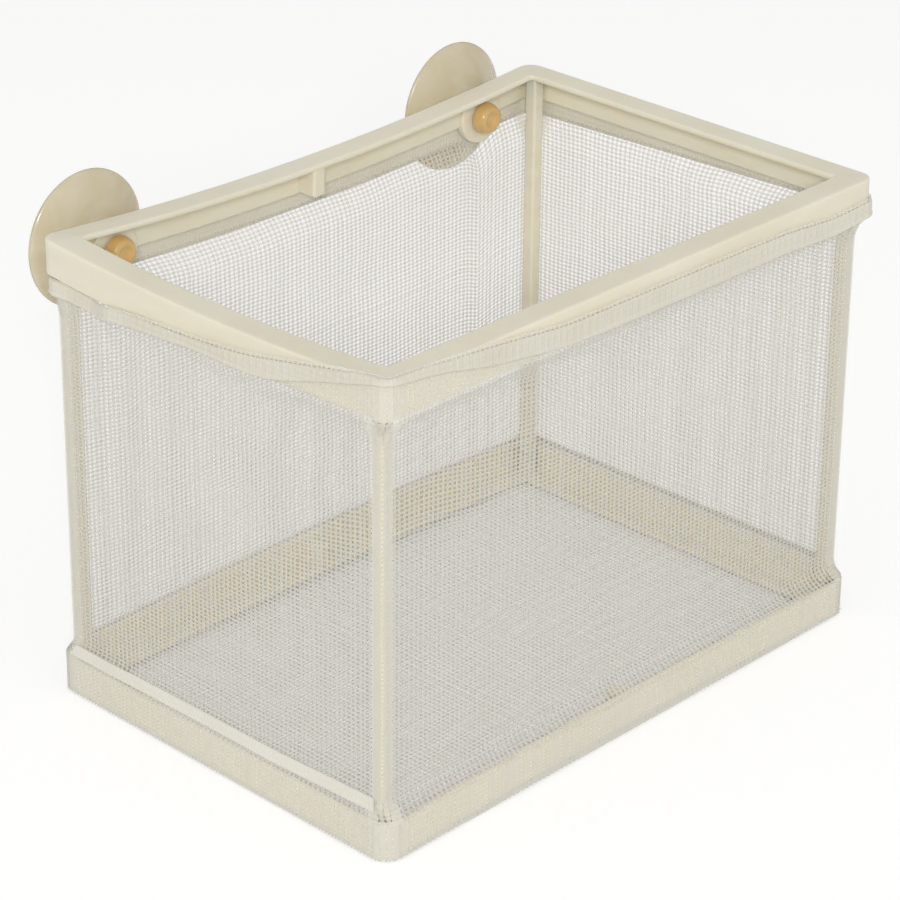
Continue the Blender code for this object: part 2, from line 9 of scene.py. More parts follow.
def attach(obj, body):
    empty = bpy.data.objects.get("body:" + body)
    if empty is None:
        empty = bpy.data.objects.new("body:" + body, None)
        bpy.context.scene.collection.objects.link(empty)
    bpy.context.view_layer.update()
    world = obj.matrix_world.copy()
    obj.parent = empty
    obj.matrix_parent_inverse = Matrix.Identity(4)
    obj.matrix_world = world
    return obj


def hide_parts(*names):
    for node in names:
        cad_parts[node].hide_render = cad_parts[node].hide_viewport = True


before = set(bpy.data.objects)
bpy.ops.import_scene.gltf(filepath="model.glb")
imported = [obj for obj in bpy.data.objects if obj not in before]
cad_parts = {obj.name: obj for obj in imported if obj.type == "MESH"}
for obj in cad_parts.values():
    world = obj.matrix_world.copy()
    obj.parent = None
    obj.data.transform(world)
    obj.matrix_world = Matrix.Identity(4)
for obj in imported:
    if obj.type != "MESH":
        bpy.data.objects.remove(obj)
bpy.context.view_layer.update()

# Sizes in metres that the moulded frames have; the bag is laid over these
boxSizes = {
    "length": 0.170, "width": 0.1156, "height": 0.1215,
    "skirt": 0.0090, "topRadius": 0.0038,
    "baseUnder": 0.0008, "baseWall": 0.0093, "baseRadius": 0.0052,
    "rearSag": 0.0036, "leftSag": 0.0021, "baseBow": 0.0013,
    "postEnd": 0.0041, "postBeside": 0.0054, "postSide": 0.0035,
    "earDrop": 0.0092, "earMargin": 0.0213,
}
halfLength = boxSizes["length"] / 2
halfWidth = boxSizes["width"] / 2
sideHalf = (halfLength, halfWidth, halfLength, halfWidth)   # rear, left, front, right
sideDepth = (halfWidth, halfLength, halfWidth, halfLength)
sideAlong = np.array([(-1, 0), (0, -1), (1, 0), (0, 1)], float)
sideOut = np.array([(0, 1), (-1, 0), (0, -1), (1, 0)], float)
sideNames = ("Rear", "Left", "Front", "Right")


# Shape helpers
def smooth(x):  # 0 to 1 with level ends: 3x^2 - 2x^3
    x = np.clip(x, 0, 1)
    return x * x * (3 - 2 * x)


def curveThrough(places, share):
    # A cubic through the places that never overshoots: each slope is the harmonic mean of the
    # rises beside it, or level where they change sign; value = Hermite(part, values, slopes)
    shares, values = (np.array(column, float) for column in zip(*places))
    gaps = np.diff(shares)
    rises = np.diff(values) / gaps
    slopes = np.concatenate([rises[:1], np.zeros(len(rises) - 1), rises[-1:]])
    left, right = rises[:-1], rises[1:]
    same = left * right > 0
    slopes[1:-1][same] = 2 * left[same] * right[same] / (left[same] + right[same])
    index = np.clip(np.searchsorted(shares, share, side="right") - 1, 0, len(gaps) - 1)
    u, gap = (share - shares[index]) / gaps[index], gaps[index]
    return ((1 + 2 * u) * (1 - u) ** 2 * values[index] + u * (1 - u) ** 2 * gap * slopes[index]
            + u**2 * (3 - 2 * u) * values[index + 1] + u**2 * (u - 1) * gap * slopes[index + 1])


def waves(a, b, seed, length):  # sum of six sine waves in a and b, of about this length, within -1 to 1
    rng = np.random.default_rng(seed)
    total = 0
    for _ in range(6):
        turn, phase = rng.uniform(0, math.tau, 2)
        reach = length * rng.uniform(0.6, 1.6)
        total = total + np.sin((a * math.cos(turn) + b * math.sin(turn)) * math.tau / reach + phase)
    return total / 6


def ringPlan(side, share, inset, radius, endInset=None):
    # A rounded rectangle this far inside the frames' faces, from the middle of one corner to the
    # middle of the next: an eighth of a circle, a straight, an eighth of a circle, by length.
    # The inset from the two sides beside this one may differ from its own.
    endInset = inset if endInset is None else endInset
    share, inset, radius, endInset = np.broadcast_arrays(share, inset, radius, endInset)
    run = sideHalf[side] - endInset - radius
    out = sideDepth[side] - inset - radius
    arc = radius * math.pi / 4
    way = share * (2 * arc + 2 * run)
    before = np.clip(way / arc, 0, 1)
    after = np.clip((way - arc - 2 * run) / arc, 0, 1)
    angle = math.radians(45) * (1 + before - after)
    sign = np.where(after > 0, 1.0, -1.0)
    bent = (before < 1) | (after > 0)
    p = np.where(bent, sign * (run + radius * np.cos(angle)), way - arc - run)
    o = out + radius * np.where(bent, np.sin(angle), 1)
    nearP = np.where(bent, sign * np.cos(angle), 0)
    nearO = np.where(bent, np.sin(angle), 1)
    place = p[..., None] * sideAlong[side] + o[..., None] * sideOut[side]
    outward = nearP[..., None] * sideAlong[side] + nearO[..., None] * sideOut[side]
    straight = np.clip(p / (2 * (sideHalf[side] - boxSizes["topRadius"])) + 0.5, 0, 1)
    return place, outward, straight


def topLift(side, t):  # the top rails' height: the rear and left ones hang in a parabola
    sag = (boxSizes["rearSag"], boxSizes["leftSag"], 0, 0)[side]
    return boxSizes["height"] - sag * 4 * t * (1 - t)


def baseLift(side, t):  # the base rails' underside: the long ones bow up in a parabola
    bow = (boxSizes["baseBow"], 0, boxSizes["baseBow"], 0)[side]
    return boxSizes["baseUnder"] + bow * 4 * t * (1 - t)


# Where the bag's mouth lies, as a way up the skirt and over the rim, by share of each side
earShare = (boxSizes["earMargin"] - boxSizes["topRadius"]) / (boxSizes["length"] - 2 * boxSizes["topRadius"])
hemSizes = {
    "casing": 0.0040, "thickness": 0.0007, "gap": 0.0003, "leastRadius": 0.0008,
    "roll": 0.00052, "bend": 0.0010, "tuck": 0.0030, "earReach": -0.0036,
}
notch = 0.020   # share of a long side over which the mouth dips below a cup's neck
mouthPlaces = (
    (
        (0, -0.0002), (earShare - 2.4 * notch, 0.0000), (earShare - notch, -0.0014),
        (earShare, hemSizes["earReach"]),
        (earShare + notch, -0.0016), (earShare + 2.6 * notch, -0.0002), (0.5, 0.0002),
        (1 - earShare - 2.6 * notch, 0.0), (1 - earShare - notch, -0.0016),
        (1 - earShare, hemSizes["earReach"]), (0.955, -0.0022), (1, -0.0012),
    ),
    (
        (0, -0.0012), (0.12, -0.0013), (0.24, 0.0009), (0.44, 0.0024),
        (0.60, 0.0039), (0.80, 0.0073), (1, 0.0108),
    ),
    (
        (0, 0.0108), (0.06, 0.0098), (0.20, 0.0075), (0.35, 0.0052),
        (0.5, 0.0049), (0.80, 0.0042), (0.93, 0.0028), (1, 0.0032),
    ),
    ((0, 0.0032), (1, -0.0002)),
)
tuckPlaces = (   # how far the hem slips in behind the skirt, as a share of the tuck
    ((0, 0), (1 - earShare / 2, 0), (1, 0.5)),
    ((0, 0.5), (0.05, 0.8), (0.10, 0.8), (0.21, 0), (1, 0)),
    ((0, 0), (1, 0)),
    ((0, 0), (1, 0)),
)
casingPlaces = (   # height of the casing: it is drawn narrow where it was pulled over the corner
    ((0, hemSizes["casing"]), (0.90, hemSizes["casing"]), (1, 0.0030)),
    ((0, 0.0030), (0.20, 0.0024), (0.45, 0.0016), (0.70, 0.0037), (0.85, 0.0023), (1, 0.0013)),
    ((0, 0.0013), (0.06, 0.0014), (0.20, 0.0036), (0.5, 0.0044), (0.85, 0.0038), (1, 0.0030)),
    ((0, 0.0030), (0.20, 0.0038), (1, hemSizes["casing"])),
)


def mouthReach(side, t):  # the mouth's way up the skirt and over the rim, 0 at the skirt's lower edge
    return curveThrough(mouthPlaces[side], t)


def casingReach(side, t):  # the casing's height, from the mouth down to the ridge
    return curveThrough(casingPlaces[side], t)


def rollReach(side, t):  # where the elastic's middle lies: mouth less casing less the roll's radius
    return mouthReach(side, t) - casingReach(side, t) - hemSizes["roll"]


def onFrame(side, t, reach, offset):
    # Inset and height of a point: up the skirt, round the rim's edge on an arc, in over the rim
    over = reach - boxSizes["skirt"]
    angle = np.clip(over / hemSizes["bend"], 0, 1) * math.pi / 2
    inset = -offset * np.cos(angle) + np.clip(over - hemSizes["bend"], 0, None)
    height = topLift(side, t) + np.minimum(over, 0) + offset * np.sin(angle)
    return inset + hemSizes["tuck"] * curveThrough(tuckPlaces[side], t), height


def framePoint(side, share, reach, offset):  # a point of the hem, from its way up the top frame
    t = ringPlan(side, share, 0.0, boxSizes["topRadius"])[2]
    inset, height = onFrame(side, t, reach, offset)
    radius = np.maximum(boxSizes["topRadius"] - inset, hemSizes["leastRadius"])
    place = ringPlan(side, share, inset, radius)[0]
    return np.concatenate([place, np.broadcast_to(height, inset.shape)[..., None]], axis=-1)


def meshOf(name, points, quads, triangles=None):
    # A mesh from arrays of points, quads and triangles, with its faces turned outwards
    corners = [quads.reshape(-1)]
    starts = [np.arange(len(quads)) * 4]
    if triangles is not None and len(triangles):
        corners.append(triangles.reshape(-1))
        starts.append(len(quads) * 4 + np.arange(len(triangles)) * 3)
    corners = np.concatenate(corners).astype(np.int32)
    starts = np.concatenate(starts).astype(np.int32)
    mesh = bpy.data.meshes.new(name)
    mesh.vertices.add(len(points))
    mesh.vertices.foreach_set("co", np.ascontiguousarray(points, np.float32).reshape(-1))
    mesh.loops.add(len(corners))
    mesh.loops.foreach_set("vertex_index", corners)
    mesh.polygons.add(len(starts))
    mesh.polygons.foreach_set("loop_start", starts)
    mesh.update(calc_edges=True)
    mesh.validate()
    piece = bpy.data.objects.new(name, mesh)
    bpy.context.scene.collection.objects.link(piece)
    return piece


def volumeOf(points, quads):  # six times the signed volume under the quads, for their direction
    a, b, c, d = (points[quads[:, i]] for i in range(4))
    return float((np.cross(a, b) * c).sum() + (np.cross(a, c) * d).sum())


def shadeSmooth(piece, degrees):  # smooth faces, with edges sharp where they turn by more than this
    piece.data.shade_smooth()
    piece.data.set_sharp_from_angle(angle=math.radians(degrees))


def threadTubes(name, bundles, corners=4):
    # Each bundle is (lines, normals, half sizes, tones, backing): lines is threads by points by xyz.
    # A thread is a flattened tube: centre + a * cos(turn) * normal + b * sin(turn) * cross(tangent, normal).
    allPoints, allQuads, allCaps, allTones, allBacking, first = [], [], [], [], [], 0
    for lines, normals, (alongNormal, acrossNormal), tones, backing in bundles:
        tangent = np.gradient(lines, axis=1)
        tangent /= np.linalg.norm(tangent, axis=-1, keepdims=True)
        beside = np.cross(tangent, normals)
        beside /= np.linalg.norm(beside, axis=-1, keepdims=True)
        upright = np.cross(beside, tangent)
        angles = np.arange(corners) / corners * math.tau
        alongNormal = np.broadcast_to(alongNormal, lines.shape[:2])[..., None, None]
        acrossNormal = np.broadcast_to(acrossNormal, lines.shape[:2])[..., None, None]
        rings = (
            lines[:, :, None, :]
            + alongNormal * np.cos(angles)[None, None, :, None] * upright[:, :, None, :]
            + acrossNormal * np.sin(angles)[None, None, :, None] * beside[:, :, None, :]
        )
        count, length = lines.shape[:2]
        index = first + np.arange(count * length * corners).reshape(count, length, corners)
        after = np.roll(index, -1, axis=2)
        quads = np.stack([index[:, :-1], after[:, :-1], after[:, 1:], index[:, 1:]], axis=-1).reshape(-1, 4)
        points = rings.reshape(-1, 3)
        if volumeOf(points, quads - first) < 0:
            quads = quads[:, ::-1]
            startCap, endCap = index[:, 0, :], index[:, -1, ::-1]
        else:
            startCap, endCap = index[:, 0, ::-1], index[:, -1, :]
        caps = np.concatenate([startCap, endCap])
        allPoints.append(points)
        allQuads.append(quads)
        allCaps.append(np.stack([caps[:, [0, i, i + 1]] for i in range(1, corners - 1)]).reshape(-1, 3))
        allTones.append(np.repeat(tones, length * corners))
        allBacking.append(np.repeat(np.broadcast_to(backing, lines.shape[:2]).reshape(-1), corners))
        first += len(points)
    piece = meshOf(name, np.concatenate(allPoints), np.concatenate(allQuads), np.concatenate(allCaps))
    for key, values in (("threadTone", allTones), ("backing", allBacking)):
        layer = piece.data.attributes.new(key, "FLOAT", "POINT")
        layer.data.foreach_set("value", np.concatenate(values).astype(np.float32))
    # A flat thread keeps its two side edges sharp, or its faces shade as if turned sideways
    shadeSmooth(piece, 60)
    return piece


# Material helpers
def linear(hexColour):  # an sRGB hex value as linear RGBA
    parts = [int(hexColour[i:i + 2], 16) / 255 for i in (0, 2, 4)]
    return (*[c / 12.92 if c <= 0.04045 else ((c + 0.055) / 1.055) ** 2.4 for c in parts], 1.0)


def addNode(tree, kind, settings=None, **links):
    # One node: settings are its properties or, by name or number, its sockets; links join sockets,
    # named with _ for a space, or i0, i1 and so on for an input by number
    node = tree.nodes.new(kind)
    for key, value in (settings or {}).items():
        if isinstance(key, int) or key in node.inputs:
            node.inputs[key].default_value = value
        else:
            setattr(node, key, value)
    for key, socket in links.items():
        numbered = key[0] == "i" and key[1:].isdigit()
        target = int(key[1:]) if numbered else key.replace("_", " ")
        tree.links.new(node.inputs[target], socket)
    return node


def newMaterial(name):  # a material with its tree, its shader and a texture coordinate node
    material = bpy.data.materials.new(name)
    material.use_nodes = True
    tree = material.node_tree
    shader = tree.nodes["Principled BSDF"]
    place = addNode(tree, "ShaderNodeTexCoord")
    return material, tree, shader, place


def setShader(shader, values):  # constant values, on the shader's own sockets
    for name, value in values.items():
        shader.inputs[name].default_value = value


def colourSockets(sockets):  # a mixing node has a socket of each kind under one name
    return [socket for socket in sockets if socket.type == "RGBA"]


def dress(piece, material):  # the piece wears this material alone
    piece.data.materials.clear()
    piece.data.materials.append(material)


def carry(piece, body, slot, *nodes):  # the piece's body and the solids it stands for; slot, the finish it takes, is not used
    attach(piece, body)
    if nodes:
        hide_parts(*nodes)


# The bag's surface. A thread's size is half its width and half its depth; flush and spread say how
# much flatter and wider it is drawn on plastic. flatInset is for the long and for the short sides.
netSizes = {
    "uprightPitch": 0.00150, "levelPitch": 0.00109,
    "upright": (0.00038, 0.00012), "level": (0.00028, 0.00009), "flush": 0.75, "spread": 0.88,
    "flatInset": (0.0035, 0.0022), "flatRadius": 0.0010, "flare": 0.0050, "topFlare": 0.0072,
    "lie": 0.00003, "under": 0.0007, "bottom": 0.0004, "belowSkirt": 0.0003, "lead": 0.0008,
}
backingSizes = {"postEdge": 0.0006, "railEdge": 0.0012, "skirtDrop": 0.0004}


def bagPaths(side, share, lift):
    # For each share, a dense way from the bag's lower edge up to the hem: own inset, the insets of
    # the sides beside it, height, corner radius. Up the base wall, then inwards by 1 - (1 - u)^2,
    # flat, outwards again, and on up the top frame.
    t = ringPlan(side, share, 0.0, boxSizes["topRadius"])[2][:, None]
    base = baseLift(side, t)
    lie = netSizes["lie"] + lift
    flats = [netSizes["flatInset"][(side + turn) % 2] - lift for turn in (0, 1)]
    top = rollReach(side, t) + netSizes["under"]
    low = np.minimum(top, -netSizes["belowSkirt"]) - netSizes["lead"]
    lowInset, lowHeight = onFrame(side, t, low, lie)
    wallTop = base + boxSizes["baseWall"]
    u = np.linspace(0, 1, 24)[None, :]
    u2 = np.linspace(0, 1, 40)[None, :]
    shut = 1 - (1 - u) ** 2
    same, same2 = np.ones_like(u * t), np.ones_like(u2 * t)
    flatLow = wallTop + netSizes["flare"]
    flatTop = lowHeight - netSizes["topFlare"]
    lowRadius = np.maximum(boxSizes["topRadius"] - lowInset, netSizes["flatRadius"])
    inset, height = onFrame(side, t, low + (top - low) * u2, lie)
    baseRadius = boxSizes["baseRadius"] + lie
    sections = [
        (-lie * same, -lie * same, netSizes["bottom"] + (wallTop - netSizes["bottom"]) * u,
         baseRadius * same),
        (*(-lie + (flat + lie) * shut for flat in flats), wallTop + netSizes["flare"] * u,
         baseRadius + (netSizes["flatRadius"] - baseRadius) * shut),
        (*(flat * same2 for flat in flats), flatLow + (flatTop - flatLow) * u2,
         netSizes["flatRadius"] * same2),
        (*(flat + (lowInset - flat) * u**2 for flat in flats), flatTop + (lowHeight - flatTop) * u,
         netSizes["flatRadius"] + (lowRadius - netSizes["flatRadius"]) * u**2),
        (inset, inset, height, np.maximum(boxSizes["topRadius"] - inset, netSizes["flatRadius"])),
    ]
    shapes = [np.broadcast(*section).shape for section in sections]
    return [
        np.concatenate([
            np.broadcast_to(section[i], shape) for section, shape in zip(sections, shapes)
        ], axis=1)
        for i in range(4)
    ]


def bagPoints(side, share, fraction, lift):
    # share is (n, k) and fraction is (n, k): points of the bag's surface, read from dense ways at
    # even shares; each way is parametrised by its own length. Bilinear in share and fraction.
    gridShares = np.linspace(0, 1, 401)
    paths = bagPaths(side, gridShares, lift)
    step = np.hypot(np.diff(paths[0], axis=1), np.diff(paths[2], axis=1))
    way = np.concatenate([np.zeros((len(step), 1)), np.cumsum(step, axis=1)], axis=1)
    way = way / way[:, -1:]
    rows = np.arange(len(step))[:, None]
    levels = np.linspace(0, 1, 1201)
    flatWay = (way + rows * 2).reshape(-1)
    asked = (levels[None, :] + rows * 2).reshape(-1)
    even = [np.interp(asked, flatWay, part.reshape(-1)).reshape(len(rows), -1) for part in paths]
    a = np.clip(share, 0, 1) * (len(gridShares) - 1)
    b = np.clip(fraction, 0, 1) * (len(levels) - 1)
    a0 = np.minimum(a.astype(int), len(gridShares) - 2)
    b0 = np.minimum(b.astype(int), len(levels) - 2)
    fa, fb = a - a0, b - b0
    inset, endInset, height, radius = (
        (part[a0, b0] * (1 - fb) + part[a0, b0 + 1] * fb) * (1 - fa)
        + (part[a0 + 1, b0] * (1 - fb) + part[a0 + 1, b0 + 1] * fb) * fa for part in even
    )
    place, outward, _ = ringPlan(side, share, inset, radius, endInset)
    points = np.concatenate([place, height[..., None]], axis=-1)
    flatOut = np.concatenate([outward, np.zeros(height.shape)[..., None]], axis=-1)
    return points, flatOut


def backingOf(side, points):
    # 1 where plastic lies right behind the bag, 0 over the open box: the base wall and the skirt by
    # height, the posts by their distance along the side, each with a soft edge
    along = np.abs(points[..., :2] @ sideAlong[side])
    height = points[..., 2]
    postInset = (boxSizes["postEnd"], boxSizes["postBeside"])[side % 2]
    toPost = np.abs(along - (sideHalf[side] - postInset)) - boxSizes["postSide"] / 2
    post = smooth(0.5 - toPost / backingSizes["postEdge"])
    overBase = height - boxSizes["baseUnder"] - boxSizes["baseWall"]
    base = smooth(0.5 - overBase / backingSizes["railEdge"])
    overSkirt = height - boxSizes["height"] + boxSizes["skirt"] + backingSizes["skirtDrop"]
    skirt = smooth(0.5 + overSkirt / backingSizes["railEdge"])
    return np.maximum(np.maximum(post, base), skirt)


def wallHeight(side):  # the middle way's length
    inset, _, height, _ = bagPaths(side, np.array([0.5]), 0.0)
    return float(np.hypot(np.diff(inset), np.diff(height)).sum())


# Materials
def plasticMaterial(name, settings):
    # Milky moulded polypropylene: pale blotches about 33 mm across and faint flow lines in the
    # colour, a little light scattered inside, and a moulded grain. The grain is drawn about a
    # millimetre wide, coarser than the real one, so that it shows.
    material, tree, shader, place = newMaterial(name)
    blotch = addNode(tree, "ShaderNodeTexNoise", {"Scale": settings["blotch"], "Detail": 3.0},
                     Vector=place.outputs["Object"])
    streakPlace = addNode(tree, "ShaderNodeMapping", {"Scale": settings["streaks"]},
                          Vector=place.outputs["Object"])
    streak = addNode(tree, "ShaderNodeTexNoise", {"Scale": 1.0, "Detail": 2.0},
                     Vector=streakPlace.outputs["Vector"])
    both = addNode(tree, "ShaderNodeMath", {"operation": "ADD"},
                   i0=blotch.outputs["Fac"], i1=streak.outputs["Fac"])
    mean = addNode(tree, "ShaderNodeMath", {"operation": "MULTIPLY", 1: 0.5}, i0=both.outputs[0])
    ramp = addNode(tree, "ShaderNodeValToRGB", None, Fac=mean.outputs[0])
    ramp.color_ramp.elements[0].position = 0.35
    ramp.color_ramp.elements[0].color = linear(settings["dark"])
    ramp.color_ramp.elements[1].position = 0.65
    ramp.color_ramp.elements[1].color = linear(settings["light"])
    tree.links.new(shader.inputs["Base Color"], ramp.outputs["Color"])
    roughRange = {"To Min": settings["rough"] - 0.05, "To Max": settings["rough"] + 0.07}
    gloss = addNode(tree, "ShaderNodeMapRange", roughRange, Value=blotch.outputs["Fac"])
    tree.links.new(shader.inputs["Roughness"], gloss.outputs["Result"])
    grain = addNode(tree, "ShaderNodeTexNoise", {"Scale": settings["grain"], "Detail": 2.0},
                    Vector=place.outputs["Object"])
    bump = addNode(tree, "ShaderNodeBump", {"Strength": 0.25, "Distance": 0.00004},
                   Height=grain.outputs["Fac"])
    tree.links.new(shader.inputs["Normal"], bump.outputs["Normal"])
    setShader(shader, {
        "Subsurface Weight": settings["scatter"], "Subsurface Radius": (1.0, 0.8, 0.5),
        "Subsurface Scale": 0.003, "IOR": 1.49,
    })
    return material


def threadMaterial(name, settings):
    # Fine polyester threads: each thread a little lighter or darker than the next, a soft sheen, and
    # paler and warmer where the plastic right behind them throws the light back through them
    material, tree, shader, place = newMaterial(name)
    tone = addNode(tree, "ShaderNodeAttribute", {"attribute_name": "threadTone"})
    wear = addNode(tree, "ShaderNodeTexNoise", {"Scale": settings["wear"], "Detail": 2.0},
                   Vector=place.outputs["Object"])
    both = addNode(tree, "ShaderNodeMath", {"operation": "ADD"},
                   i0=tone.outputs["Fac"], i1=wear.outputs["Fac"])
    spread = addNode(tree, "ShaderNodeMapRange", {"From Min": 0.2, "From Max": 1.8},
                     Value=both.outputs[0])
    ramp = addNode(tree, "ShaderNodeValToRGB", None, Fac=spread.outputs["Result"])
    ramp.color_ramp.elements[0].color = linear(settings["dark"])
    ramp.color_ramp.elements[1].color = linear(settings["light"])
    backing = addNode(tree, "ShaderNodeAttribute", {"attribute_name": "backing"})
    mixed = addNode(tree, "ShaderNodeMix", {"data_type": "RGBA"}, Factor=backing.outputs["Fac"])
    openColour, backedColour = colourSockets(mixed.inputs)
    tree.links.new(openColour, ramp.outputs["Color"])
    backedColour.default_value = linear(settings["backed"])
    tree.links.new(shader.inputs["Base Color"], colourSockets(mixed.outputs)[0])
    # The threads are drawn wider than the real ones, and their Alpha lets the light through again
    setShader(shader, {
        "Roughness": 0.7, "Sheen Weight": 0.1, "Specular IOR Level": 0.3, "Alpha": settings["alpha"],
    })
    return material


def tapeMaterial(name, settings):
    # Closely knitted tape: columns of tiny stitches as bump and a slight change of tone. A wave's
    # bands lie tau / 20 / scale apart, here about a millimetre, as coarse as they need to show.
    material, tree, shader, place = newMaterial(name)
    uv = addNode(tree, "ShaderNodeUVMap", {"uv_map": "tapeWay"})
    ribs = addNode(tree, "ShaderNodeTexWave", {
        "Scale": settings["ribs"], "Distortion": 1.2, "Detail": 1.0, "bands_direction": "X",
    }, Vector=uv.outputs["UV"])
    rows = addNode(tree, "ShaderNodeTexWave", {
        "Scale": settings["ribs"] * 0.8, "Distortion": 1.0, "Detail": 1.0, "bands_direction": "Y",
    }, Vector=uv.outputs["UV"])
    knit = addNode(tree, "ShaderNodeMath", {"operation": "MULTIPLY"},
                   i0=ribs.outputs["Fac"], i1=rows.outputs["Fac"])
    wear = addNode(tree, "ShaderNodeTexNoise", {"Scale": settings["wear"], "Detail": 3.0},
                   Vector=place.outputs["Object"])
    tone = addNode(tree, "ShaderNodeMath", {"operation": "MULTIPLY_ADD", 1: 0.35},
                   i0=knit.outputs[0], i2=wear.outputs["Fac"])
    ramp = addNode(tree, "ShaderNodeValToRGB", None, Fac=tone.outputs[0])
    ramp.color_ramp.elements[0].position = 0.3
    ramp.color_ramp.elements[0].color = linear(settings["dark"])
    ramp.color_ramp.elements[1].position = 0.9
    ramp.color_ramp.elements[1].color = linear(settings["light"])
    tree.links.new(shader.inputs["Base Color"], ramp.outputs["Color"])
    bump = addNode(tree, "ShaderNodeBump", {"Strength": 0.5, "Distance": 0.00012},
                   Height=knit.outputs[0])
    tree.links.new(shader.inputs["Normal"], bump.outputs["Normal"])
    setShader(shader, {
        "Roughness": 0.8, "Sheen Weight": 0.2, "Subsurface Weight": 0.15,
        "Subsurface Radius": (1.0, 0.9, 0.7), "Subsurface Scale": 0.001,
    })
    return material


def cupMaterial(name, settings):
    # Soft clear vinyl gone cloudy: amber in the thick knob and neck, paler and greyer in the thin dish
    material, tree, shader, place = newMaterial(name)
    apart = addNode(tree, "ShaderNodeSeparateXYZ", None, Vector=place.outputs["Object"])
    depth = addNode(tree, "ShaderNodeMapRange", {
        "From Min": settings["amberUntil"], "From Max": settings["paleFrom"],
        "interpolation_type": "SMOOTHSTEP",
    }, Value=apart.outputs["Y"])
    cloud = addNode(tree, "ShaderNodeTexNoise", {
        "Scale": settings["cloud"], "Detail": 4.0, "Distortion": 0.6,
    }, Vector=place.outputs["Object"])
    pale = addNode(tree, "ShaderNodeValToRGB", None, Fac=cloud.outputs["Fac"])
    pale.color_ramp.elements[0].position = 0.35
    pale.color_ramp.elements[0].color = linear(settings["paleDark"])
    pale.color_ramp.elements[1].position = 0.65
    pale.color_ramp.elements[1].color = linear(settings["paleLight"])
    mixed = addNode(tree, "ShaderNodeMix", {"data_type": "RGBA"}, Factor=depth.outputs["Result"])
    thickColour, thinColour = colourSockets(mixed.inputs)
    thickColour.default_value = linear(settings["amber"])
    tree.links.new(thinColour, pale.outputs["Color"])
    tree.links.new(shader.inputs["Base Color"], colourSockets(mixed.outputs)[0])
    smear = addNode(tree, "ShaderNodeMapRange", {"To Min": 0.12, "To Max": 0.34}, Value=cloud.outputs["Fac"])
    tree.links.new(shader.inputs["Roughness"], smear.outputs["Result"])
    setShader(shader, {
        "Transmission Weight": settings["clear"], "Subsurface Weight": settings["scatter"],
        "Subsurface Radius": (1.0, 0.75, 0.4), "Subsurface Scale": 0.003,
        "IOR": 1.52, "Coat Weight": 0.3, "Coat Roughness": 0.08,
    })
    return material


creamPlastic = plasticMaterial("creamPolypropylene", {
    "blotch": 30.0, "streaks": (60, 60, 240), "grain": 900.0,
    "dark": "e6dfca", "light": "ece6d3", "rough": 0.42, "scatter": 0.5,
})
whiteThread = threadMaterial("polyesterNetThread", {
    "wear": 45.0, "dark": "e9e6dd", "light": "efece4", "backed": "fcf9ee", "alpha": 0.34,
})
tapeSettings = {"ribs": 300.0, "wear": 60.0}
# The hem's tape is the seam bands' tape drawn darker: painted shade, for the top of the box lying in less
# light than its lower part
shadedHemTape = tapeMaterial("knittedTapePaintedShade", {**tapeSettings, "dark": "d8d2c0", "light": "e2decf"})
seamTape = tapeMaterial("paleSeamTape", {**tapeSettings, "dark": "e4dfcf", "light": "ece8db"})
cupVinyl = cupMaterial("agedSoftVinyl", {
    "cloud": 110.0, "amber": "f8cf87", "paleDark": "e0d4b3", "paleLight": "e9dfc7",
    "amberUntil": 0.0572, "paleFrom": 0.0605, "clear": 0.35, "scatter": 0.2,
})
print("materials made")

mouldedNodes = (
    "top_frame", "bottom_frame",
    "post_left_front", "post_left_rear", "post_right_front", "post_right_rear",
)
for node in mouldedNodes:
    dress(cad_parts[node], creamPlastic)


